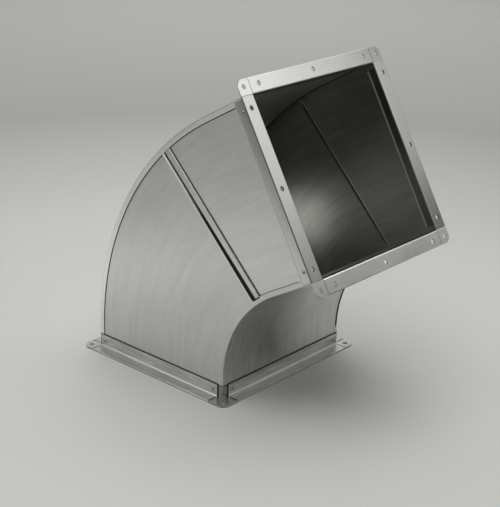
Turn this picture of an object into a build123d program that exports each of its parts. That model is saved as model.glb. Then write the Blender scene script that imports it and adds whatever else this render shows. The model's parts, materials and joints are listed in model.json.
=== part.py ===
from build123d import *
import os
from math import cos, radians, sin

# Rectangular duct elbow of folded sheet steel, millimetres.
# Origin: centre of the base flange, on its mating face. +X towards the throat, +Z up the base neck.

# Duct and bend, outside sizes
duct_width = 320.0
duct_depth = 320.0
bend_angle = 60.0
throat_radius = 220.0
base_run = 15.0
top_run = 78.0

# Duct sheet
sheet = 1.0
sheet_bend = 1.2
fit = 0.1
rim = 10.0
turned_edge = 8.0

# Seam in each cheek, with the folded cap over it: places of its ends round the bend
near_seam_heel_angle = 46.4
near_seam_throat_angle = 48.7
far_seam_heel_angle = 52.0
far_seam_throat_angle = 60.5
seam_lip = 4.0
seam_tail = 6.0
cap_sheet = 0.8
cap_bend = 0.9
cap_groove = 4.6
cap_strip = 11.5
cap_strip_height = 3.2

# Slide-on flange profile, rolled from one sheet: inner lip, leg of two layers hemmed flat, outer web
leg = 25.0
profile_sheet = 1.5
web_bend = 2.0
lip_bend = 2.2
lip_flare = 1.5
base_web = 26.0
base_lip = 11.5
top_web = 42.0
top_lip = 19.0

# Flange corners: distances of the profiles' ends from the duct's corners
corner_gap = 3.0
front_gap = 13.0
lip_gap = 13.0
corner_radius = 14.0
joint_gap = 1.0

# Bolts and rivets
bolt_hole = 9.0
near_hole_pitch = 36.0
rivet_diameter = 4.0
rivet_head = 7.0
rivet_crown = 4.0
rivet_head_height = 1.6
rivet_end = 1.2
base_rivet_height = 14.5
base_rivet_inset = 10.0
top_rivet_height = 32.0
top_rivet_inset = 20.0

# Sealant beads
bead = 1.8
bead_height = 1.2
foot_bead = 1.0

# Sizes that follow
leg_thickness = 2 * profile_sheet
hem_round = 0.48 * leg_thickness
half_width = duct_width / 2
half_depth = duct_depth / 2
heel_radius = throat_radius + duct_width
base_neck = base_web + base_run
top_neck = top_web + top_run
wall_end = leg_thickness + fit
base_rim_end = base_web + bead + fit
top_rim_end = top_web + bead + fit
inner_face = sheet + fit + profile_sheet
bend_turn = radians(bend_angle)
top_direction = Vector(sin(bend_turn), 0, cos(bend_turn))
heel_direction = Vector(-cos(bend_turn), 0, sin(bend_turn))
bend_centre = Vector(half_width + throat_radius, 0, base_neck)
bend_axis = Axis(bend_centre, (0, 1, 0))
top_centre = bend_centre + heel_direction * (throat_radius + half_width) + top_direction * top_neck
top_plane = Plane(origin=top_centre, x_dir=-heel_direction, z_dir=-top_direction)


def folded(points, thickness, bend):
    """Section of a folded sheet: a centre line with rounded folds, given the sheet's thickness."""
    return trace(FilletPolyline(*points, radius=bend), line_width=thickness)


def along_bend(section, base_end=wall_end, top_end=wall_end):
    """Carries a level section up the base neck, round the bend and out along the top neck."""
    start = Pos(0, 0, base_neck) * section
    finish = start.rotate(bend_axis, bend_angle)
    lower = extrude(start, amount=base_neck - base_end, dir=(0, 0, -1))
    turned = revolve(start, axis=bend_axis, revolution_arc=bend_angle)
    upper = extrude(finish, amount=top_neck - top_end, dir=top_direction)
    return lower + turned + upper


def rim_notches():
    """Room for the near and far webs of both flanges, where the wrappers' rims are cut away."""
    notches = []
    seat = (Align.CENTER, Align.MIN, Align.MIN)
    for plane, end in ((Plane.XY, base_rim_end), (top_plane, top_rim_end)):
        block = Pos(0, half_depth) * Box(2 * duct_width, 4 * rim, end, align=seat)
        notches += [plane * block, plane * Rot(0, 0, 180) * block]
    return notches


def wrapper(side):
    """Heel (side -1) or throat (side 1): a curved sheet whose long edges turn over both cheeks."""
    wall = half_width - sheet / 2
    rim_plane = half_depth + fit + sheet / 2
    rim_end = half_width - rim
    points = [(side * rim_end, -rim_plane), (side * wall, -rim_plane)]
    points += [(side * wall, rim_plane), (side * rim_end, rim_plane)]
    return along_bend(folded(points, sheet, sheet_bend)) - rim_notches()


def whole_cheek():
    """Near cheek before it is parted: a flat sheet with both edges turned in beneath the wrappers."""
    edge = half_width - sheet - fit - sheet / 2
    plate = sheet / 2 - half_depth
    turn_end = turned_edge - half_depth
    points = [(-edge, turn_end), (-edge, plate), (edge, plate), (edge, turn_end)]
    return along_bend(folded(points, sheet, sheet_bend))


def bend_point(radius, angle):
    """Point of the near cheek's outer face at a radius and an angle of the bend."""
    turn = radians(angle)
    return bend_centre + Vector(-radius * cos(turn), -half_depth, radius * sin(turn))


def seam_frame(heel_angle, throat_angle):
    """Frame of a seam in the near cheek: x across to the upper panel, y outwards, z from heel to throat."""
    start = bend_point(heel_radius, heel_angle)
    line = bend_point(throat_radius, throat_angle) - start
    return Plane(origin=start, x_dir=(-line.Z, 0, line.X), z_dir=line)


def along_seam(seam, section):
    """Carries a section of the seam from the heel's rim sealant to the throat's rim."""
    bar = extrude(seam * section, amount=duct_width + throat_radius / 2)
    heel_end = rim + bead + fit - half_width
    throat_end = half_width - rim - fit
    window = Pos((heel_end + throat_end) / 2, -half_depth) * Rectangle(throat_end - heel_end, 4 * seam_lip)
    return bar & along_bend(window)


def cheek_panel(seam, cheek, side):
    """Lower (side -1) or upper (side 1) panel: part of the cheek, with a lip turned out along the seam."""
    cut = Plane(origin=seam.origin + seam.x_dir * (side * fit / 2), z_dir=seam.x_dir * side)
    panel = split(cheek, bisect_by=cut, keep=Keep.TOP)
    strip = Pos(side * seam_tail / 2, -sheet / 2) * Rectangle(seam_tail, sheet)
    lip = side * (fit / 2 + sheet / 2)
    points = [(side * seam_tail, -sheet / 2), (lip, -sheet / 2), (lip, seam_lip)]
    return panel - along_seam(seam, strip) + along_seam(seam, folded(points, sheet, sheet_bend))


cap_wall = fit / 2 + sheet + fit + cap_sheet / 2
cap_foot = fit + cap_sheet / 2
groove_end = cap_wall + cap_groove
strip_end = groove_end + cap_strip


def seam_cap(seam):
    """Folded strip: a channel over the two lips, a groove, then a raised flat along the upper panel."""
    ridge = seam_lip + fit + cap_bend
    flat = cap_strip_height - cap_sheet / 2
    points = [(-cap_wall, sheet_bend + fit), (-cap_wall, ridge), (cap_wall, ridge), (cap_wall, cap_foot)]
    points += [(groove_end, cap_foot), (groove_end, flat), (strip_end, flat), (strip_end, fit)]
    return along_seam(seam, folded(points, cap_sheet, cap_bend))


def seam_beads(seam):
    """Sealant in the cap's groove and along the cap's two feet."""
    groove = cap_groove - cap_sheet - 2 * cap_bend
    foot = cap_sheet / 2 + foot_bead / 2
    groove_floor = cap_foot + cap_sheet / 2
    strips = [Pos(cap_wall + cap_groove / 2, groove_floor + bead / 4) * Rectangle(groove, bead / 2)]
    strips.append(Pos(-cap_wall - foot, bead_height / 2) * Rectangle(foot_bead, bead_height))
    strips.append(Pos(strip_end + foot, bead_height / 2) * Rectangle(foot_bead, bead_height))
    return [along_seam(seam, strip) for strip in strips]


def rim_bead():
    """Sealant along the free edge of the heel's near rim, between the webs."""
    edge = rim - half_width
    points = [(edge, -half_depth), (edge + bead, -half_depth), (edge, -half_depth - fit - sheet)]
    return along_bend(make_face(Polyline(*points, close=True)), base_rim_end, top_rim_end)


# Flanges: each is drawn once on its own mating face, z into the duct, then placed at either end
# Each corner in the list lies between the side in the same place and the next one
side_names = ("throat", "far", "heel", "near")
corner_names = ("throat_far", "heel_far", "heel_near", "throat_near")
base_gaps = (corner_gap, corner_gap, corner_gap, front_gap)
top_gaps = (corner_gap, corner_gap, corner_gap, corner_gap)


def side_frame(name):
    """Turn that faces one side of the duct, the distance of its wall and half that wall's length."""
    quarter = side_names.index(name)
    facing = Rot(0, 0, 90 * quarter)
    if quarter % 2 == 0:
        return facing, half_width, half_depth
    return facing, half_depth, half_width


def side_ends(half_run, gaps, place):
    """Where a side's profile starts and ends along its wall, given the gaps at the four corners."""
    return gaps[place - 1] - half_run, half_run - gaps[place]


def rivet_places(half_size, start, end, height, inset):
    """Places of one side's two rivets, on the duct's outer face near the ends of the web."""
    return [Pos(half_size, start + inset, height), Pos(half_size, end - inset, height)]


def cross_hole(diameter):
    """Drill through a side wall, along the outward direction."""
    return Rot(0, 90, 0) * Cylinder(diameter / 2, 4 * inner_face)


def rounded(face, place, radius):
    """Rounds the corner of a flat face that lies at a place."""
    return fillet(face.vertices().sort_by_distance(place)[0], radius)


def bar_between(section, half_size, start, end):
    """Straight bar along a side, from a section drawn outwards and inwards."""
    return Pos(half_size, end, 0) * extrude(Plane.XZ * section, amount=end - start)


def profile(half_size, half_run, start, end, web, lip):
    """Rolled profile for one side: outer web, hemmed leg, and a flared inner lip below the rivets."""
    web_face = fit + profile_sheet
    lip_face = sheet + fit
    outline = [(fit, web), (web_face, web), (web_face, leg_thickness), (leg, leg_thickness), (leg, 0)]
    outline += [(-inner_face, 0), (-inner_face, leg_thickness), (fit, leg_thickness)]
    section = make_face(Polyline(*outline, close=True))
    section = rounded(section, (web_face, leg_thickness), web_bend)
    section = rounded(section, (leg, leg_thickness), hem_round)
    section = rounded(section, (leg, 0), hem_round)
    section = rounded(section, (-inner_face, 0), lip_bend)
    flare = lip - 2 * lip_flare
    lip_outline = [(-inner_face, leg_thickness), (-inner_face, flare), (-inner_face - lip_flare, lip)]
    lip_outline += [(-lip_face - lip_flare, lip), (-lip_face, flare), (-lip_face, leg_thickness)]
    lip_section = make_face(Polyline(*lip_outline, close=True))
    lip_start = max(start, lip_gap - half_run)
    lip_end = min(end, half_run - lip_gap)
    bar = bar_between(section, half_size, start, end)
    return bar + bar_between(lip_section, half_size, lip_start, lip_end)


def corner(side_x, side_y, gap):
    """Corner plate, level with the legs: a rounded tip, a bolt hole, and edges short of the profiles."""
    start = (half_width - gap + joint_gap, half_depth - gap + joint_gap)
    tip = (half_width + leg, half_depth + leg)
    mouth = Rectangle(2 * (half_width - inner_face), 2 * (half_depth - inner_face))
    outline = make_face(Polyline(start, (tip[0], start[1]), tip, (start[0], tip[1]), close=True))
    plate = extrude(rounded(outline, tip, corner_radius) - mouth, amount=leg_thickness)
    plate -= Pos(half_width + leg / 2, half_depth + leg / 2) * Cylinder(bolt_hole / 2, 4 * leg_thickness)
    if side_x == side_y:
        return Rot(0, 0, 90 - 90 * side_x) * plate
    return mirror(plate, about=Plane.YZ if side_x < 0 else Plane.XZ)


def rivet():
    """Rivet along +X through web and wall: bevelled head outside, plain end inside."""
    head = fit + profile_sheet
    crown = head + rivet_head_height
    end = -sheet - rivet_end
    points = [(end, 0), (end, rivet_diameter / 2), (head, rivet_diameter / 2), (head, rivet_head / 2)]
    points += [(crown, rivet_crown / 2), (crown, 0)]
    return revolve(make_face(Polyline(*points, close=True)), axis=Axis.X)


def web_bead(half_size, start, end, web):
    """Sealant on the duct wall round the three free edges of one side's web."""
    foot = wall_end
    middle = (start + end) / 2
    run = end - start
    outer = Pos(middle, (foot + web + bead) / 2) * Rectangle(run + 2 * bead, web + bead - foot)
    inner = Pos(middle, (foot + web) / 2) * Rectangle(run, web - foot)
    return Pos(half_size, 0, 0) * extrude(Plane.YZ * (outer - inner), amount=bead_height)


def flange(web, lip, gaps, rivet_height, rivet_inset, bolted_sides):
    """All pieces of one flange, by name, on its own mating face."""
    pieces = {"rivets": [], "sealant": []}
    for place, name in enumerate(side_names):
        facing, half_size, half_run = side_frame(name)
        start, end = side_ends(half_run, gaps, place)
        bar = profile(half_size, half_run, start, end, web, lip)
        near = half_run + leg / 2 - near_hole_pitch
        for hole in (-near, 0, near) if bolted_sides else ():
            bar -= Pos(half_size + leg / 2, hole, 0) * Cylinder(bolt_hole / 2, 4 * leg_thickness)
        for spot in rivet_places(half_size, start, end, rivet_height, rivet_inset):
            bar -= spot * cross_hole(rivet_diameter + 2 * fit)
            pieces["rivets"].append(facing * spot * rivet())
        pieces["profile_" + name] = facing * bar
        pieces["sealant"].append(facing * web_bead(half_size, start, end, web))
    for name, gap in zip(corner_names, gaps):
        side_x = 1 if "throat" in name else -1
        side_y = 1 if "far" in name else -1
        pieces["corner_" + name] = corner(side_x, side_y, gap)
    return pieces


def rivet_drills(gaps, rivet_height, rivet_inset):
    """Clearance holes that one flange's rivets need in the duct walls."""
    drills = []
    for place, name in enumerate(side_names):
        facing, half_size, half_run = side_frame(name)
        start, end = side_ends(half_run, gaps, place)
        for spot in rivet_places(half_size, start, end, rivet_height, rivet_inset):
            drills.append(facing * spot * cross_hole(rivet_diameter + 2 * fit))
    return drills


# Duct walls
cheek = whole_cheek()
nodes = {"heel": wrapper(-1), "throat": wrapper(1)}
near_seam = seam_frame(near_seam_heel_angle, near_seam_throat_angle)
far_seam = seam_frame(far_seam_heel_angle, far_seam_throat_angle)
for name, seam in (("near", near_seam), ("far", far_seam)):
    pieces = {
        "cheek_lower": [cheek_panel(seam, cheek, -1)],
        "cheek_upper": [cheek_panel(seam, cheek, 1)],
        "seam_cap": [seam_cap(seam)],
        "seam_sealant": seam_beads(seam),
        "rim_sealant": [rim_bead()],
    }
    for piece, solids in pieces.items():
        placed = solids if name == "near" else [mirror(solid, about=Plane.XZ) for solid in solids]
        nodes[f"{name}_{piece}"] = placed[0] if len(placed) == 1 else Compound(children=placed)

# Rivet holes in the walls
drills = rivet_drills(base_gaps, base_rivet_height, base_rivet_inset)
drills += [top_plane * drill for drill in rivet_drills(top_gaps, top_rivet_height, top_rivet_inset)]
for name in ("heel", "throat", "near_cheek_lower", "near_cheek_upper", "far_cheek_lower", "far_cheek_upper"):
    nodes[name] = nodes[name] - drills

# Flanges: the top one faces the other way, so its near and far sides change over
other_side = {"near": "far", "far": "near"}
base_flange = flange(base_web, base_lip, base_gaps, base_rivet_height, base_rivet_inset, False)
top_flange = flange(top_web, top_lip, top_gaps, top_rivet_height, top_rivet_inset, True)
for name, piece in base_flange.items():
    nodes["base_" + name] = Compound(children=piece) if isinstance(piece, list) else piece
for name, piece in top_flange.items():
    placed = [top_plane * part for part in piece] if isinstance(piece, list) else top_plane * piece
    words = [other_side.get(word, word) for word in name.split("_")]
    nodes["_".join(["top"] + words)] = Compound(children=placed) if isinstance(placed, list) else placed

os.makedirs("parts", exist_ok=True)
for name, piece in nodes.items():
    export_step(piece, f"parts/{name}.step")
    solids = piece.solids()
    print(name, len(solids), "solids", round(sum(solid.volume for solid in solids)), "mm3")
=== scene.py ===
# %% [markdown]
# # A rectangular duct elbow in brushed sheet steel
#
# The elbow is a square air duct that turns sixty degrees: two curved walls, two flat cheeks with a
# standing seam, and a bolted flange round each mouth. The solids already have the folds and holes at their
# real sizes, so this lesson is about the last step, the finish. We load the packed model as a fixed
# frame, give each piece its steel, add thin lines of sealant, and light it.

# %% Load the frame
import json
from collections import namedtuple
from math import cos, pi, radians, sin

import bpy
import numpy as np
from mathutils import Matrix, Vector


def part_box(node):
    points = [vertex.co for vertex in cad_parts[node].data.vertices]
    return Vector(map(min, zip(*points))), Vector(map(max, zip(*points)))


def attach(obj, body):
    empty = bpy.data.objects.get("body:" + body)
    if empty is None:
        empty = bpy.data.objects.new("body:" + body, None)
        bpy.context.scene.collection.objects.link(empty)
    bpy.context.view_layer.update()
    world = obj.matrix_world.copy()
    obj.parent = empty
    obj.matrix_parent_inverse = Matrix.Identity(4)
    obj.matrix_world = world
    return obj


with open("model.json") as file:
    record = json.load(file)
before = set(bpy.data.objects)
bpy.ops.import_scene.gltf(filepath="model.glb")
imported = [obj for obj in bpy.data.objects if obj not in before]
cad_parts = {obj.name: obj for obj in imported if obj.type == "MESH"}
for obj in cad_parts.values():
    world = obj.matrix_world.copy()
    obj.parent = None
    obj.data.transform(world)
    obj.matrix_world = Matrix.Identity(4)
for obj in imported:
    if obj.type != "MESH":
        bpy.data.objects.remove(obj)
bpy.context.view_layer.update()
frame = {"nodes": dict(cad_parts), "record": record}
print("nodes in the frame:", len(frame["nodes"]))

# %% [markdown]
# ## The path of the bend
#
# Everything on this duct follows one path: straight up through the base neck, round an arc, and straight
# out through the top neck. All its sizes could be typed in again, but then they might drift away from the
# model. So the mouths come from the record's mounts, and only the throat's radius, the flange's leg and
# web and the thicknesses are given here. The lengths of the two necks follow from those.

# %% Bend sizes from the frame
sheet = 0.001
leg = 0.025
leg_thickness = 0.003
base_web = 0.026
throat_radius = 0.220

mounts = {mount["name"]: mount for mount in frame["record"]["mounts"]}
top_axis = Vector(mounts["top_face"]["axis"])
top_centre = Vector(mounts["top_corner_bolts"]["pos_m"])
bend_angle = pi / 2 - np.arctan2(top_axis.z, top_axis.x)
heel_axis = Vector((-cos(bend_angle), 0, sin(bend_angle)))
half_width = -float(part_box("heel")[0][0])
half_depth = (mounts["base_bolts"]["dims"]["spacing_y_mm"] / 1000 - leg) / 2
mean_radius = throat_radius + half_width
heel_radius = mean_radius + half_width
top_neck = (top_centre.x - mean_radius * (1 - cos(bend_angle))) / sin(bend_angle)
base_neck = top_centre.z - mean_radius * sin(bend_angle) - top_neck * cos(bend_angle)
bend_centre = Vector((mean_radius, 0, base_neck))
print("bend of", round(np.degrees(bend_angle), 2), "degrees, duct", round(2 * half_width, 4), "by",
      round(2 * half_depth, 4), "m, necks", round(base_neck, 4), "and", round(top_neck, 4), "m")

# %% [markdown]
# ## Camera
#
# A long lens a little over two metres away keeps the two flanges nearly parallel, as a catalogue
# photograph does. The camera could be dragged into place, but numbers can be repeated: two angles and a
# distance place it on a sphere round a target inside the bend, and a third angle is a slight roll.

# %% Camera
view_azimuth = radians(41.7276)
view_elevation = radians(21.4772)
view_roll = radians(1.1784)
view_distance = 2.3579
view_target = Vector((0.11746, -0.0480, 0.23586))
lens_mm = 93.79
sensor_mm = 36.0

view_back = Vector((sin(view_azimuth) * cos(view_elevation), -cos(view_azimuth) * cos(view_elevation),
                    sin(view_elevation)))
level_right = Vector((0, 0, 1)).cross(view_back).normalized()
level_up = view_back.cross(level_right)
view_right = level_right * cos(view_roll) + level_up * sin(view_roll)
view_up = level_up * cos(view_roll) - level_right * sin(view_roll)

camera_data = bpy.data.cameras.new("camera")
camera_data.lens = lens_mm
camera_data.sensor_width = sensor_mm
camera = bpy.data.objects.new("camera", camera_data)
turn = Matrix((view_right, view_up, view_back)).transposed().to_4x4()
camera.matrix_world = Matrix.Translation(view_target + view_back * view_distance) @ turn
bpy.context.collection.objects.link(camera)
bpy.context.scene.camera = camera
print("camera at", [round(v, 3) for v in camera.matrix_world.translation])

# %% [markdown]
# ## Writing shader maths as Python
#
# A procedural finish is arithmetic on the place of a point: turn it into lengths along and across the
# sheet, feed those to a noise, and mix. It could be wired by hand in the node editor, but that hides the
# idea. So one small class wraps a socket, and plain operators on it add the Math nodes.

# %% Sockets that take arithmetic
class Wire:
    """An output socket in a finish; arithmetic on it adds Math nodes to that finish."""

    def __init__(self, finish, socket):
        self.finish = finish
        self.socket = socket

    def calc(self, operation, *values):
        """A Math node that takes this wire first and the other values after it."""
        inputs = dict(enumerate([self, *values]))
        return self.finish.node("ShaderNodeMath", {"operation": operation}, inputs)

    def __add__(self, other):
        return self.calc("ADD", other)

    __radd__ = __add__

    def __mul__(self, other):
        return self.calc("MULTIPLY", other)

    __rmul__ = __mul__

    def __sub__(self, other):
        return self.calc("SUBTRACT", other)

    def __neg__(self):
        return self * -1.0

    def __rsub__(self, other):
        return -self + other

    def limited(self, low, high):
        """This wire held between two values."""
        return self.calc("MAXIMUM", low).calc("MINIMUM", high)

    def above(self, level, soft):
        """Rises from 0 to 1 over a soft width centred on a level."""
        return ((self - level) * (1 / soft) + 0.5).limited(0.0, 1.0)

    def between(self, low, high, soft):
        """1 between two levels and 0 past them, with a soft width at each."""
        return self.above(low, soft) * (1.0 - self.above(high, soft))


print("wires ready, with", [name for name in vars(Wire) if not name.startswith("_")])

# %% [markdown]
# ## A material under construction
#
# Each finish is one material. Blender adds its nodes one by one, and a setting, such as an operation or a
# ramp's stops, is not a socket. One method sets both in the right order, and short helpers on top of it
# name the few nodes that steel, sealant and paper need.

# %% Materials
class Finish:
    """A material under construction: its nodes, its Principled shader and helpers to wire them."""

    def __init__(self, name):
        self.material = bpy.data.materials.new(name)
        self.material.use_nodes = True
        self.tree = self.material.node_tree
        self.shader = self.tree.nodes["Principled BSDF"]

    def node(self, kind, settings, inputs, output=0):
        """Adds one node: its settings first, then a value or a wire for each named socket."""
        added = self.tree.nodes.new(kind)
        for key, value in settings.items():
            if key == "stops":
                ramp = added.color_ramp
                ramp.elements.remove(ramp.elements[1])
                ramp.elements[0].position = value[0][0]
                ramp.elements[0].color = value[0][1]
                for place, colour in value[1:]:
                    ramp.elements.new(place).color = colour
            else:
                setattr(added, key, value)
        for key, value in inputs.items():
            self.feed(added.inputs[key], value)
        return Wire(self, added.outputs[output])

    def feed(self, socket, value):
        """Links a wire to a socket, or sets the socket's own value."""
        if isinstance(value, Wire):
            self.tree.links.new(value.socket, socket)
        else:
            socket.default_value = value

    def surface(self, **values):
        """Feeds the Principled shader; an underscore in a name stands for a space."""
        for key, value in values.items():
            self.feed(self.shader.inputs[key.replace("_", " ")], value)
        return self.material

    def place(self):
        """Object coordinates of the point being shaded, as a vector wire."""
        return self.node("ShaderNodeTexCoord", {}, {}, "Object")

    def split(self, vector):
        """The three components of a vector wire."""
        return [self.node("ShaderNodeSeparateXYZ", {}, {0: vector}, part) for part in range(3)]

    def join(self, x, y, z):
        """A vector wire from three components."""
        return self.node("ShaderNodeCombineXYZ", {}, {0: x, 1: y, 2: z})

    def reach(self, direction, origin):
        """Length from an origin along a direction."""
        settings = {"operation": "DOT_PRODUCT"}
        inputs = {0: self.place(), 1: tuple(direction)}
        along = self.node("ShaderNodeVectorMath", settings, inputs, "Value")
        return along - Vector(direction).dot(Vector(origin))

    def noise(self, vector, scale=1.0, detail=3.0, roughness=0.55):
        """Noise between 0 and 1, centred near 0.5."""
        inputs = {"Vector": vector, "Scale": scale, "Detail": detail, "Roughness": roughness}
        return self.node("ShaderNodeTexNoise", {}, inputs)

    def blend(self, amount, first, second):
        """Mix of two colours by a wire between 0 and 1."""
        settings = {"data_type": "RGBA", "clamp_factor": True}
        return self.node("ShaderNodeMix", settings, {0: amount, 6: first, 7: second}, 2)

    def tint(self, shade, tone, swing, warmth=0.0):
        """Grey that swings below and above a tone as a shade goes from 0 to 1."""
        return self.blend(shade, grey(tone * (1 - swing), warmth), grey(tone * (1 + swing), warmth))

    def bump(self, height, strength, distance):
        """Normal wire from a height wire."""
        inputs = {"Strength": strength, "Distance": distance, "Height": height}
        return self.node("ShaderNodeBump", {}, inputs)


def grey(level, warmth=0.0):
    """A neutral colour, with a little less blue for a warm one."""
    return (level, level, level * (1 - warmth), 1.0)


print("a warm grey is", grey(0.5, warmth=0.05))

# %% [markdown]
# ## Brushed duct sheet
#
# The walls are cut from sheet that was brushed before it was folded, and the marks run along the air
# path. On the cheeks they are arcs about the bend's axis. A picture of brushed steel would have to be bent
# to follow them. A noise only has to be read in the duct's own coordinates: radius, place across the duct
# and length along the path, fine across the grain and long along it.

# %% Grain that follows the bend
fine_marks = 420.0
long_marks = 11.0
wide_bands = 90.0
long_bands = 9.0
sheet_clouds = 9.0
mark_share = 0.6
band_share = 0.5
cloud_share = 0.4


def duct_coordinates(finish):
    """Radius from the bend's axis, place across the duct and length along it, for any point.

    The angle round the axis is held between the two ends of the arc. Past either end the same
    formula then measures straight along the neck."""
    x, y, z = finish.split(finish.place())
    right = x - bend_centre.x
    up = z - bend_centre.z
    angle = up.calc("ARCTAN2", -right).limited(0.0, bend_angle)
    sine = angle.calc("SINE")
    cosine = angle.calc("COSINE")
    radius = up * sine - right * cosine
    along = angle * mean_radius + right * sine + up * cosine
    return radius, y, along


def sheet_grain(finish, radius, y, along, contrast):
    """Fine marks, wider bands and soft clouds, and their sum as a shade about one half."""
    marks = finish.noise(finish.join(radius * fine_marks, y * fine_marks, along * long_marks), detail=4.0)
    bands = finish.noise(finish.join(radius * wide_bands, y * wide_bands, along * long_bands))
    clouds = finish.noise(finish.place(), scale=sheet_clouds)
    total = (marks - 0.5) * mark_share + (bands - 0.5) * band_share + (clouds - 0.5) * cloud_share
    return marks, bands, clouds, total * contrast + 0.5


print("marks about", round(1000 / fine_marks, 1), "mm wide and", round(1000 / long_marks), "mm long")

# %% [markdown]
# ## Painted shade and highlights on the sheet
#
# The inside of the duct is painted darker and a little warmer than the outside, as painted shade. A
# painted dark line of shade follows the fold on the heel's long edges, and the foot of the sheet is painted
# dark as shade where it goes behind the base flange. Inside, a painted highlight lies beside the far
# panel's fold. These could be painted on unwrapped sheets. Here each is a range of a distance that the
# shader can measure, so it stays in its place when a size changes.

# %% Inner side, folds and foot
world_origin = (0, 0, 0)
z_axis = (0, 0, 1)
fine_edge = 0.0004
soft_edge = 0.0006
# Painted shade of the inner faces: a darker, warmer grey than the outer faces
inner_shade_tone, inner_swing, inner_shade_warmth = 0.68, 0.5, 0.05
# Painted highlight beside the far seam's fold on the inner side
inner_highlight_low, inner_highlight_high, inner_highlight_grey = 0.0028, 0.0048, 0.85
sheet_bend = 0.0012
fold_radius = heel_radius - sheet_bend
# Painted shade along the folds of the heel's long edges
fold_shade_grey, fold_shade_cover = 0.20, 0.85
foot_height = base_web + 0.0002
# Painted shade at the foot of the sheet, behind and just above the base web
foot_shade_grey, foot_shade_warmth, foot_shade_cover = 0.16, 0.03, 0.6


def outer_side(radius, y):
    """1 on a wall's outer face and 0 on its inner face, from the depth below the outer face."""
    past_cheek = y.calc("ABSOLUTE") - half_depth
    past_wrapper = (radius - mean_radius).calc("ABSOLUTE") - half_width
    return past_cheek.calc("MAXIMUM", past_wrapper).above(-sheet / 2, sheet / 4)


def inner_shaded_colour(finish, shade, tone, edge):
    """Painted shade on an inner face, a darker, slightly warm grey, with a painted highlight line beside an
    edge where it has one.
    """
    colour = finish.tint(shade, tone * inner_shade_tone, inner_swing, inner_shade_warmth)
    if edge:
        start, _, across = edge
        light = finish.reach(across, start).between(inner_highlight_low, inner_highlight_high, soft_edge)
        colour = finish.blend(light, colour, grey(inner_highlight_grey))
    return colour


def fold_and_foot_shade(finish, colour, radius, y):
    """Painted shade, dark lines on the folds of the heel's long edges and a dark foot behind the base
    flange.
    """
    fold = y.calc("ABSOLUTE").above(half_depth + sheet / 5, sheet / 2) * radius.above(fold_radius, sheet / 2)
    colour = finish.blend(fold * fold_shade_cover, colour, grey(fold_shade_grey))
    foot = 1.0 - finish.reach(z_axis, world_origin).above(foot_height, sheet)
    return finish.blend(foot * foot_shade_cover, colour, grey(foot_shade_grey, foot_shade_warmth))


print("heel fold at a radius of", round(fold_radius, 4), "m, foot up to", round(foot_height, 4), "m")

# %% [markdown]
# ## Seams of the cheeks
#
# Each cheek is two panels, and a folded strip, the cap, covers the lips where they meet. On the cap show a
# ridge with a painted highlight, a groove of dark sealant that gets wider towards the throat, and a crease
# beside it in painted shade. The solids have the strip and its groove. The lines in it are painted, the
# sealant's because it spreads unevenly: each is a range of the distance across the seam, and its limits lean
# with the share of the way to the throat.

# %% Seam lines
near_seam_angles = (46.4, 48.7)
far_seam_angles = (52.0, 60.5)
# Painted highlight on the cap's ridge
ridge_end, ridge_lean, ridge_highlight_grey, ridge_highlight_cover = 0.0020, 0.0008, 0.92, 0.6
groove_start, groove_lean, groove_grey = 0.0022, 0.0010, 0.012
groove_end, groove_spread = 0.0054, 0.0042
# Painted shade in the crease beside the groove
crease_low, crease_high, crease_shade_grey, crease_shade_cover = 0.0042, 0.0050, 0.20, 0.7


def bend_place(radius, y, angle):
    """Point at a radius, a place across the duct and an angle round the bend."""
    return Vector((bend_centre.x - radius * cos(angle), y, bend_centre.z + radius * sin(angle)))


def seam_lines(angles, y):
    """Start of a seam at the heel, its direction to the throat and the direction across it."""
    heel_angle, throat_angle = map(radians, angles)
    start = bend_place(heel_radius, y, heel_angle)
    line = (bend_place(throat_radius, y, throat_angle) - start).normalized()
    return start, line, Vector((-line.z, 0, line.x))


def cap_lines(finish, colour, seam):
    """Colour of a seam's cap with its painted ridge highlight, sealant groove and painted crease shade, and
    how metallic it is.
    """
    start, line, across = seam
    side = finish.reach(across, start)
    down = finish.reach(line, start) * (1 / (2 * half_width))
    ridge = 1.0 - (side + down * ridge_lean).above(ridge_end, soft_edge)
    past_start = (side + down * groove_lean).above(groove_start, fine_edge)
    past_end = (side - down * groove_spread).above(groove_end, soft_edge)
    groove = past_start * (1.0 - past_end)
    crease = side.between(crease_low, crease_high, fine_edge) * down
    colour = finish.blend(ridge * ridge_highlight_cover, colour, grey(ridge_highlight_grey))
    colour = finish.blend(groove, colour, grey(groove_grey))
    colour = finish.blend(crease * crease_shade_cover, colour, grey(crease_shade_grey))
    return colour, 1.0 - groove


near_seam = seam_lines(near_seam_angles, -half_depth)
far_seam = seam_lines(far_seam_angles, half_depth)
print("near seam runs", [round(v, 3) for v in near_seam[1]], "far seam", [round(v, 3) for v in far_seam[1]])

# %% [markdown]
# ## The whole sheet finish
#
# The grain does three jobs at once: it changes the grey, it makes some marks rougher than others, and it
# bends the mirrored light a little. One function puts these together with the painted shade and highlights,
# so that every sheet is the same steel and differs only in tone, roughness and contrast.

# %% Sheet finish
sheet_swing = 0.20
mark_rough, cloud_rough = 0.18, 0.10
rough_limits = (0.12, 0.8)
mark_depth = 0.0004
sheet_bump = 0.30


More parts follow.
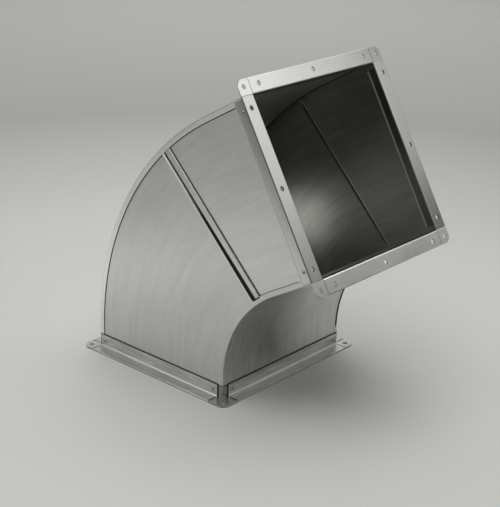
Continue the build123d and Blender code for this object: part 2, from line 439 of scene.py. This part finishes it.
def sheet_finish(name, tone, roughness, contrast=1.0, seam=None, edge=None):
    """Brushed steel whose grain follows the duct, with painted shade on its inner side, its foot and the
    heel's folds.

    A seam adds the lines of its cap. An edge is a seam whose fold shows as a painted highlight line inside."""
    finish = Finish(name)
    radius, y, along = duct_coordinates(finish)
    marks, bands, clouds, shade = sheet_grain(finish, radius, y, along, contrast)
    outer = finish.tint(shade, tone, sheet_swing)
    # Inner faces take the painted shade, darker and warmer than the outer faces
    colour = finish.blend(outer_side(radius, y), inner_shaded_colour(finish, shade, tone, edge), outer)
    colour = fold_and_foot_shade(finish, colour, radius, y)
    metal = 1.0
    if seam:
        colour, metal = cap_lines(finish, colour, seam)
    rough = (marks - 0.5) * mark_rough + (clouds - 0.5) * cloud_rough + roughness
    return finish.surface(Base_Color=colour, Metallic=metal, Roughness=rough.limited(*rough_limits),
                          Normal=finish.bump(marks + bands * 0.5, sheet_bump * contrast, mark_depth))


print("roughness of a sheet is held between", rough_limits)

# %% [markdown]
# ## Flange profiles
#
# The flange bars are rolled and brushed lengthwise, so each needs its own grain direction. Fine lines of
# painted light and shade tell the eye that they are folded: a painted highlight on a bend, painted shade
# under a hem. They are finer than a solid needs to be. Each line is a band of the height behind a mating
# face, so the finish measures that height and paints the bands.

# %% Grain and fold lines of a bar
x_axis = (1, 0, 0)
y_axis = (0, 1, 0)
grain_squeeze = 0.04
bar_clouds, bar_cloud_share = 14.0, 0.2
bar_mark_rough, bar_cloud_rough = 0.08, 0.12
bar_swing = 0.45
bar_bump = 0.02
leg_back = 0.0035
# How far the painted fade darkens the web, as painted shade
web_shade_fade = 0.6
web_middle = 0.026
Band = namedtuple("Band", "low high level cover inside")


def bar_marks(finish, direction):
    """Noise at the place squeezed along a direction, which draws its marks out that way."""
    along = finish.reach(direction, world_origin)
    inputs = {0: direction, "Scale": along * (grain_squeeze - 1)}
    shift = finish.node("ShaderNodeVectorMath", {"operation": "SCALE"}, inputs)
    squeezed = finish.node("ShaderNodeVectorMath", {"operation": "ADD"}, {0: finish.place(), 1: shift})
    return finish.noise(squeezed, scale=fine_marks, detail=4.0)


def paint_light_and_shade_bands(finish, colour, axis, origin, bands):
    """Adds bands of painted light and shade to a flange's colour, outside the duct's walls or on the lip
    inside them.

    A band's low and high are heights behind the mating face, its level is a grey, and its cover says how
    far it hides the steel."""
    height = finish.reach(axis, origin)
    sideways = finish.reach(y_axis, origin).calc("ABSOLUTE")
    across = finish.reach(Vector(axis).cross(Vector(y_axis)), origin).calc("ABSOLUTE")
    outside = sideways.calc("MAXIMUM", across).above(half_depth - sheet / 2, sheet / 5)
    for band in bands:
        side = 1.0 - outside if band.inside else outside
        shown = height.between(band.low, band.high, fine_edge) * side
        colour = finish.blend(shown * band.cover, colour, grey(band.level))
    return colour


def bar_finish(name, direction, tone, roughness, axis, origin, bands, fade=0.0, streaks=0.25, warmth=0.0,
               web_shade_rise=0.0):
    """Brushed steel with straight grain along a direction, and painted bands.

    A fade is painted light and shade: it lightens the mating face along the grain and darkens the web. A
    rise lightens the web away from the leg, so that the web carries painted shade next to the leg."""
    finish = Finish(name)
    marks = bar_marks(finish, direction)
    clouds = finish.noise(finish.place(), scale=bar_clouds, detail=2.0)
    shade = (marks - 0.5) * streaks + (clouds - 0.5) * bar_cloud_share + 0.5
    # Painted light and shade: a gradient along the bar, and shade on the web next to the leg
    if fade:
        height = finish.reach(axis, origin)
        on_leg = 1.0 - height.above(leg_back, sheet / 2)
        along = finish.reach(direction, origin)
        shade = shade + along * (on_leg * (1 + web_shade_fade) - web_shade_fade) * fade
        shade = shade + (height - web_middle) * (1.0 - on_leg) * web_shade_rise
    colour = finish.tint(shade, tone, bar_swing, warmth)
    colour = paint_light_and_shade_bands(finish, colour, axis, origin, bands)
    rough = (marks - 0.5) * bar_mark_rough + (clouds - 0.5) * bar_cloud_rough + roughness
    return finish.surface(Base_Color=colour, Metallic=1.0, Roughness=rough.limited(*rough_limits),
                          Normal=finish.bump(marks, bar_bump, mark_depth))


print("bars read their grain at", grain_squeeze, "of its length")

# %% [markdown]
# ## Joint sealant
#
# Sealant is squeezed out of a gun and dries matt and a little uneven. A modelled surface of lumps would
# be too fine to see, so a small noise moves its grey and its roughness together.

# %% Sealant
sealant_lumps = 160.0
sealant_rough, sealant_rough_swing = 0.55, 0.2


def sealant_finish(name, low, high):
    """Joint sealant, matt and a little uneven, between two greys."""
    finish = Finish(name)
    lumps = finish.noise(finish.place(), scale=sealant_lumps, detail=2.0)
    colour = finish.blend(lumps, grey(low), grey(high))
    return finish.surface(Base_Color=colour, Roughness=lumps * sealant_rough_swing + sealant_rough)


print("sealant lumps about", round(1000 / sealant_lumps, 1), "mm wide")

# %% [markdown]
# ## A finish for every node
#
# The sheets and bars differ in tone. On the heel and on the top flange's bars the tones are painted light
# and shade: the heel sheet is lighter for the highlight on its rim, and the top flange's side bars are
# darker than its heel and throat bars, for how the light falls on them. The nodes could be listed one by
# one, but their names already say which end, side and piece each is. So the finishes get short names, and
# one function picks a finish from the words in a node's name.

# %% Bands of the flanges
# Painted light and shade of the base flange: a shadow line where the hem meets the floor, half shade on the
# leg tops and hems, and a highlight on the web's bend
base_light_and_shade_bands = [
    Band(low=-0.0010, high=0.0010, level=0.05, cover=1.0, inside=False),
    Band(low=0.0010, high=0.0034, level=0.40, cover=0.5, inside=False),
    Band(low=0.0036, high=0.0056, level=0.95, cover=1.0, inside=False),
]
# Painted shade on the lips inside the top mouth, and a lighter painted line on their flared ends
lip_light_and_shade_bands = [
    Band(low=0.0030, high=0.0170, level=0.20, cover=0.8, inside=True),
    Band(low=0.0183, high=0.0197, level=0.36, cover=1.0, inside=True),
]
# Painted highlight on the throat lip's bend, painted shade on the lip, and a painted highlight on its flared
# end
throat_light_and_shade_bands = [
    Band(low=-0.0010, high=0.0024, level=0.98, cover=1.0, inside=True),
    Band(low=0.0028, high=0.0179, level=0.02, cover=1.0, inside=True),
    Band(low=0.0182, high=0.0200, level=0.85, cover=1.0, inside=True),
]
# Painted shade under the hem of the top flange's side bars
hem_shade_bands = [Band(low=0.0008, high=0.0030, level=0.10, cover=1.0, inside=False)]
base_bar = {"axis": z_axis, "origin": world_origin, "bands": base_light_and_shade_bands, "streaks": 1.8, "warmth": 0.03}
top_bar = {"axis": tuple(-top_axis), "origin": tuple(top_centre)}
# The fade and web rise of the top flange's bars are painted light and shade
slanting_bar = {"bands": lip_light_and_shade_bands + hem_shade_bands, "fade": 2.2, "web_shade_rise": 14.0, **top_bar}
heel_bar = {"bands": lip_light_and_shade_bands, "fade": -0.8, **top_bar}
throat_bar = {"bands": throat_light_and_shade_bands, "fade": 1.8, **top_bar}
rivet_bar = {"axis": z_axis, "origin": world_origin, "bands": []}
slant_axis = tuple(heel_axis)
print("bands on the base flange:", len(base_light_and_shade_bands), "on a slanting bar:", len(slanting_bar["bands"]))

# %% Finishes of the nodes
finishes = {
    # The heel's lighter tone is a painted highlight on its rim
    "heel": sheet_finish("brushed_heel_sheet", tone=0.84, roughness=0.36),
    "throat": sheet_finish("brushed_throat_sheet", tone=0.62, roughness=0.32, contrast=2.0),
    "sheet": sheet_finish("brushed_duct_sheet", tone=0.625, roughness=0.34),
    "near_cheek_upper": sheet_finish("brushed_near_upper_sheet", tone=0.665, roughness=0.34),
    "far_cheek_upper": sheet_finish("brushed_far_upper_sheet", tone=0.665, roughness=0.34, edge=far_seam),
    "near_strip": sheet_finish("near_seam_strip", tone=0.64, roughness=0.34, seam=near_seam),
    "far_strip": sheet_finish("far_seam_strip", tone=0.64, roughness=0.34, seam=far_seam),
    "base_lengthwise": bar_finish("base_flange_lengthwise", x_axis, tone=0.62, roughness=0.32, **base_bar),
    "base_crosswise": bar_finish("base_flange_crosswise", y_axis, tone=0.58, roughness=0.32, **base_bar),
    # The top flange's bar tones are painted light and shade: side bars darker, heel and throat bars lighter
    "top_slanting": bar_finish("top_flange_slanting", slant_axis, tone=0.47, roughness=0.30, **slanting_bar),
    "top_heel": bar_finish("top_flange_heel", y_axis, tone=0.65, roughness=0.30, **heel_bar),
    "top_throat": bar_finish("top_flange_throat", y_axis, tone=0.675, roughness=0.30, **throat_bar),
    "rivet": bar_finish("rivet_steel", z_axis, tone=0.34, roughness=0.42, **rivet_bar),
    "dark_sealant": sealant_finish("joint_sealant", low=0.012, high=0.035),
    "grey_sealant": sealant_finish("grey_joint_sealant", low=0.34, high=0.42),
}


def finish_for(name):
    """The finish of a node, from the words in its name."""
    end = name.split("_")[0]
    if "sealant" in name:
        return "grey_sealant" if end == "top" else "dark_sealant"
    if "rivets" in name:
        return "rivet"
    if "profile_near" in name or "profile_far" in name:
        return "base_lengthwise" if end == "base" else "top_slanting"
    if "profile" in name or "corner" in name:
        return "base_crosswise" if end == "base" else "top_heel" if "heel" in name else "top_throat"
    if "cap" in name:
        return end + "_strip"
    return name if name in finishes else "sheet"


for name, node in frame["nodes"].items():
    node.data.materials.clear()
    node.data.materials.append(finishes[finish_for(name)])
print("finishes:", list(finishes))

# %% [markdown]
# ## A bead of sealant
#
# The solids have the sealant that closes the flanges and the seams. More thin lines of it show in the
# joints. A curve with a round bevel would make a bead too, but half of it would lie inside the sheet. So a
# bead here is a half ellipse carried along a path: for each point of the path and each angle of the
# ellipse, the surface is the path point plus the width direction times the cosine plus the height
# direction times the sine.

# %% Beads and their paths
bead_sink = 0.2
bead_points = 16
taper_rows = 3
taper_start = 0.1


def bead(name, path, across, out, width, height):
    """Closed bead along a path, a half ellipse above and nearly flat beneath.

    Point = path + across * (width / 2) * cos(angle) + out * height * sin(angle), for a whole turn, with the
    sine held at -bead_sink so that the underside sits just in the sheet. Both ends taper over three rows
    and are capped. The width direction is turned round where the faces would point inwards."""
    rows = len(path)
    across = np.broadcast_to(np.array(across, dtype=float), path.shape)
    out = np.broadcast_to(np.array(out, dtype=float), path.shape)
    across = across * np.sign(np.sum(np.cross(across, np.gradient(path, axis=0)) * out))
    from_end = np.minimum(np.arange(rows), np.arange(rows)[::-1])
    taper = np.minimum(1.0, from_end / taper_rows + taper_start)[:, None, None]
    angle = np.linspace(0.0, 2 * pi, bead_points, endpoint=False)[None, :, None]
    sideways = across[:, None, :] * (width / 2) * np.cos(angle)
    upwards = out[:, None, :] * height * np.maximum(np.sin(angle), -bead_sink)
    points = path[:, None, :] + taper * (sideways + upwards)
    ring = np.arange(bead_points)
    row_starts = np.arange(rows - 1)[:, None] * bead_points
    corner = (row_starts + ring).ravel()
    beside = (row_starts + (ring + 1) % bead_points).ravel()
    sides = np.stack([corner, corner + bead_points, beside + bead_points, beside], axis=1)
    caps = [ring.tolist(), ((rows - 1) * bead_points + ring[::-1]).tolist()]
    mesh = bpy.data.meshes.new(name)
    mesh.from_pydata(points.reshape(-1, 3).tolist(), [], sides.tolist() + caps)
    mesh.polygons.foreach_set("use_smooth", np.ones(len(mesh.polygons), dtype=bool))
    piece = bpy.data.objects.new(name, mesh)
    bpy.context.collection.objects.link(piece)
    mesh.materials.append(finishes["dark_sealant"])
    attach(piece, "root")


def straight(start, end, rows=30):
    """Evenly spaced points from one place to another: start + share * (end - start)."""
    return np.array(start) + np.linspace(0.0, 1.0, rows)[:, None] * (np.array(end) - np.array(start))


def outward(turns):
    """Direction from the bend's axis to the heel: minus the cosine along X and the sine along Z."""
    return np.stack([-np.cos(turns), np.zeros_like(turns), np.sin(turns)], axis=1)


def bend_line(radius, y, turns, runs):
    """Points round the bend: its centre + radius * outward + y across + a run along the top neck."""
    centre = np.array([bend_centre.x, y, bend_centre.z])
    return centre + radius * outward(turns) + runs[:, None] * np.array(top_axis)


def bend_and_neck(first_angle, bend_rows, neck_start, neck_end, neck_rows):
    """Angles and runs of a path from an angle to the bend's end, and on along the top neck."""
    bend_turns = np.linspace(radians(first_angle), bend_angle, bend_rows)
    turns = np.append(bend_turns, np.full(neck_rows, bend_angle))
    runs = np.append(np.zeros(bend_rows), np.linspace(neck_start, neck_end, neck_rows))
    return turns, runs


print("a bead has", bead_points, "points round it")

# %% [markdown]
# ## Sealant inside the duct
#
# Through the top mouth two dark lines show: one along the inner corner of heel and cheek, one along the
# far cheek's seam. The corner bead follows the bend and then the top neck; the other is straight. A corner
# bead lies on each side, so that the duct looks finished from both.

# %% Inner beads
lift = 0.0001
corner_inset, corner_width, corner_height = 0.0105, 0.0070, 0.0014
seam_bead_start, seam_bead_end = 0.008, 0.318
seam_bead_width, seam_bead_height = 0.0046, 0.0014

turns, runs = bend_and_neck(first_angle=0.0, bend_rows=90, neck_start=0.004, neck_end=0.095, neck_rows=20)
for side, word in ((1, "far"), (-1, "near")):
    path = bend_line(heel_radius - sheet - lift, side * (half_depth - corner_inset), turns, runs)
    bead(word + "_corner_bead", path, y_axis, -outward(turns), corner_width, corner_height)

start, line, across = far_seam
inner_start = start - Vector((0, sheet + lift, 0))
path = straight(inner_start + line * seam_bead_start, inner_start + line * seam_bead_end, rows=60)
bead("far_seam_inner_bead", path, across, (0, -1, 0), seam_bead_width, seam_bead_height)
print("inner corner beads of", len(turns), "rows, seam bead of", len(path), "rows")

# %% [markdown]
# ## Sealant along the throat
#
# One bead closes the lower end of the near seam's cap on the throat's rim. Fine ones run along the rims to
# the top flange. A wider dark one follows the throat's far edge as painted shade of that rounded edge. All
# are the same bead on other paths.

# %% Throat beads
cap_end_angles = (47.9, 53.2)
cap_end_place, cap_end_width, cap_end_height = 0.0088, 0.0022, 0.0006
rim_place, rim_width, rim_height = 0.0104, 0.0014, 0.0008
edge_inset, edge_width, edge_height = 0.0035, 0.0044, 0.0010
neck = {"neck_start": 0.003, "neck_end": 0.074}

turns = np.linspace(*map(radians, cap_end_angles), num=24)
rim_face = half_depth + sheet + 2 * lift
path = bend_line(throat_radius + cap_end_place, -rim_face, turns, np.zeros_like(turns))
bead("near_seam_end_bead", path, outward(turns), (0, -1, 0), cap_end_width, cap_end_height)

turns, runs = bend_and_neck(52.0, bend_rows=12, neck_rows=24, **neck)
for side, word in ((1, "far"), (-1, "near")):
    path = bend_line(throat_radius + rim_place, side * (half_depth + 2 * lift), turns, runs)
    bead(word + "_throat_rim_bead", path, outward(turns), (0, side, 0), rim_width, rim_height)

# Painted shade: a dark bead along the throat's far edge stands in for the shade on that rounded edge
turns, runs = bend_and_neck(-1.0, bend_rows=60, neck_rows=20, **neck)
path = bend_line(throat_radius - lift, half_depth - edge_inset, turns, runs)
bead("far_throat_edge_shade_bead", path, y_axis, -outward(turns), edge_width, edge_height)
print("throat edge bead", round(float(np.linalg.norm(np.diff(path, axis=0), axis=1).sum()), 3), "m long")

# %% [markdown]
# ## Sealant on the base flange
#
# Each base corner plate meets two legs with a narrow joint, and the webs stop short of the duct's
# corner. A bead fills each joint, and two more close the foot of each corner. The four corners differ only
# in two signs and, at the front, in a longer plate, so a loop makes all sixteen.

# %% Base beads
corner_gap, corner_joint_width = 0.003, 0.0016
front_gap, front_joint_width = 0.013, 0.0032
joint_gap = 0.001
joint_start = 0.0045
joint_height = 0.0004
foot_place, foot_width, foot_rise = base_web + 0.0008, 0.0020, 0.0006
leg_top = leg_thickness + lift

for side_x, word_x in ((-1, "heel"), (1, "throat")):
    for side_y, word_y in ((-1, "near"), (1, "far")):
        front = (word_x, word_y) == ("throat", "near")
        inset = (front_gap if front else corner_gap) - joint_gap / 2
        joint_width = front_joint_width if front else corner_joint_width
        # How far past the duct's wall lie the joint, the wall's face, and a joint bead's start and end
        past_wall = np.array([-inset, lift, joint_start, leg - lift])
        joint_x, wall_x, start_x, end_x = side_x * (half_width + past_wall)
        joint_y, wall_y, start_y, end_y = side_y * (half_depth + past_wall)
        corner_name = word_x + "_" + word_y
        path = straight((joint_x, start_y, leg_top), (joint_x, end_y, leg_top))
        bead(corner_name + "_joint_bead_x", path, x_axis, z_axis, joint_width, joint_height)
        path = straight((start_x, joint_y, leg_top), (end_x, joint_y, leg_top))
        bead(corner_name + "_joint_bead_y", path, y_axis, z_axis, joint_width, joint_height)
        path = straight((joint_x, wall_y, foot_place), (wall_x, wall_y, foot_place))
        bead(corner_name + "_foot_bead_x", path, z_axis, (0, side_y, 0), foot_width, foot_rise)
        path = straight((wall_x, joint_y, foot_place), (wall_x, wall_y, foot_place))
        bead(corner_name + "_foot_bead_y", path, z_axis, (side_x, 0, 0), foot_width, foot_rise)
print("beads in all:", sum("_bead" in mesh.name for mesh in bpy.data.meshes))

# %% [markdown]
# ## Floor
#
# The floor is a sheet of pale paper that fills the picture. In the picture it is light round the elbow,
# darker behind it, and light again far away, where less of the lamps' light arrives. More lamps could do
# that, but the steel would mirror them. So this light and shade are painted: the paper's colour changes
# softly with the distance from the elbow.

# %% Floor paper
floor_size = 40.0
floor_edge = floor_size / 2
paper_roughness = 0.9
tone_reach = 10.0
# Painted light and shade on the floor: the paper's grey at each distance from the elbow
painted_floor_light_tones = [(0.0, 0.425), (0.30, 0.435), (0.8, 0.42), (1.7, 0.31),
               (2.5, 0.42), (3.7, 0.62), (5.0, 0.68), (9.0, 0.95)]

floor_mesh = bpy.data.meshes.new("floor")
floor_corners = [(side_x * floor_edge, side_y * floor_edge, 0)
                 for side_x, side_y in ((-1, -1), (1, -1), (1, 1), (-1, 1))]
floor_mesh.from_pydata(floor_corners, [], [(0, 1, 2, 3)])
floor = bpy.data.objects.new("floor", floor_mesh)
bpy.context.collection.objects.link(floor)
floor_finish = Finish("floor_paper")
inputs = {0: floor_finish.place()}
distance = floor_finish.node("ShaderNodeVectorMath", {"operation": "LENGTH"}, inputs, "Value")
stops = [(place / tone_reach, grey(tone)) for place, tone in painted_floor_light_tones]
floor_colour = floor_finish.node("ShaderNodeValToRGB", {"stops": stops}, {0: distance * (1 / tone_reach)})
floor_mesh.materials.append(floor_finish.surface(Base_Color=floor_colour, Roughness=paper_roughness))
print("floor of", floor_size, "m with", len(painted_floor_light_tones), "tones")

# %% [markdown]
# ## Lamps
#
# One large soft lamp overhead makes the level and the shadow, a wash lights the floor behind, and a fill
# in front lifts the near side. Bare steel shows what it mirrors, so the other lamps outside are panels
# placed where a face looks: one for the top flange, one for the tops of the base legs and one for the
# lips. Where the top flange looks is the view mirrored in its face, which a dot product gives. Of two weak
# lamps inside the duct, one makes the soft patch on the far cheek that shows through the top mouth, and the
# other lifts the near cheek.

# %% Lamps
lamp_tint = (0.99, 1.0, 0.945)
duct_middle = Vector((0.12, 0.0, 0.25))
flange_look = top_axis * (2 * top_axis.dot(view_back)) - view_back
panel_side = Vector((flange_look.y, -flange_look.x, 0.0)).normalized()
panel_distance, panel_slide, panel_raise = 1.25, 0.33, 0.41
panel_target = top_centre + panel_side * panel_slide + Vector((0, 0, panel_raise))
panel_place = panel_target + flange_look * panel_distance


def soft_light(name, place, target, width, height, strength, spread=180.0):
    """A rectangular softbox at a place, turned to a target; a narrow spread keeps its light in a beam."""
    data = bpy.data.lights.new(name, "AREA")
    data.shape = "RECTANGLE"
    data.size = width
    data.size_y = height
    data.energy = strength
    data.spread = radians(spread)
    data.color = lamp_tint
    lamp = bpy.data.objects.new(name, data)
    lamp.location = place
    lamp.rotation_euler = (Vector(target) - Vector(place)).to_track_quat("-Z", "Y").to_euler()
    lamp.visible_camera = False
    bpy.context.collection.objects.link(lamp)
    return lamp


soft_light("overhead", (-0.05, -0.02, 2.7), duct_middle, width=3.6, height=3.6, strength=104.0)
soft_light("back_wash", (-2.0, 2.3, 2.3), (-2.0, 2.3, 0.0), width=2.4, height=2.4, strength=22.0)
soft_light("flange_panel", panel_place, panel_target, width=1.35, height=1.08, strength=4.4)
leg_panel = soft_light("leg_panel", (-1.9, -2.3, 1.15), (0.0, -0.17, 0.0),
                       width=2.4, height=1.6, strength=6.5)
leg_panel.visible_diffuse = False
lip_panel = soft_light("lip_panel", (-0.75, 2.05, 2.25), top_centre, width=0.9, height=0.7, strength=5.0)
lip_panel.visible_diffuse = False
soft_light("inside_patch", (-0.080, -0.025, 0.155), (0.065, 0.159, 0.228),
           width=0.10, height=0.09, strength=0.0049, spread=70.0)
soft_light("inside_fill", (-0.060, 0.025, 0.135), (0.045, -0.159, 0.213),
           width=0.10, height=0.09, strength=0.0165, spread=90.0)
front_fill = soft_light("front_fill", (1.6, -2.8, 1.8), (0.1, -0.3, 0.0),
                        width=3.0, height=2.0, strength=30.0)
front_fill.visible_glossy = False
print("lamps:", [light.name for light in bpy.data.lights])

# %% [markdown]
# ## Cards and sky
#
# A photographer lays cards beside shiny work to choose what it mirrors. Three lie on the floor here: a
# white and a grey one on the left, and a dark one on the right in front, where the throat looks, so that
# this wall stays dark. Only mirrored rays see them. An even, weak sky fills what no lamp reaches.

# %% Cards and sky
card_lift = 0.002
sky_level = 0.21


def floor_card(name, left, right, front, back, tone):
    """A card lying on the floor that only mirrors see, given in metres to the picture's right and back."""
    view_side = Vector((cos(view_azimuth), sin(view_azimuth), 0.0))
    view_away = Vector((-sin(view_azimuth), cos(view_azimuth), 0.0))
    corners = [view_side * a + view_away * b + Vector((0, 0, card_lift))
               for a, b in ((left, front), (right, front), (right, back), (left, back))]
    mesh = bpy.data.meshes.new(name)
    mesh.from_pydata([tuple(corner) for corner in corners], [], [(0, 1, 2, 3)])
    card = bpy.data.objects.new(name, mesh)
    bpy.context.collection.objects.link(card)
    mesh.materials.append(Finish(name).surface(Base_Color=grey(tone), Roughness=paper_roughness))
    card.visible_camera = False
    card.visible_diffuse = False
    card.visible_shadow = False


floor_card("white_card", left=-0.85, right=-0.48, front=-0.6, back=0.6, tone=0.64)
floor_card("grey_card", left=-2.60, right=-1.00, front=-1.0, back=1.0, tone=0.32)
floor_card("dark_card", left=0.18, right=1.90, front=-0.9, back=-0.10, tone=0.10)

world = bpy.data.worlds.new("studio")
world.use_nodes = True
world.node_tree.nodes["Background"].inputs[0].default_value = (*lamp_tint, 1.0)
world.node_tree.nodes["Background"].inputs[1].default_value = sky_level
bpy.context.scene.world = world
bpy.context.scene.view_settings.view_transform = "Standard"
print("sky at", sky_level, "with the view transform", bpy.context.scene.view_settings.view_transform)

# %% [markdown]
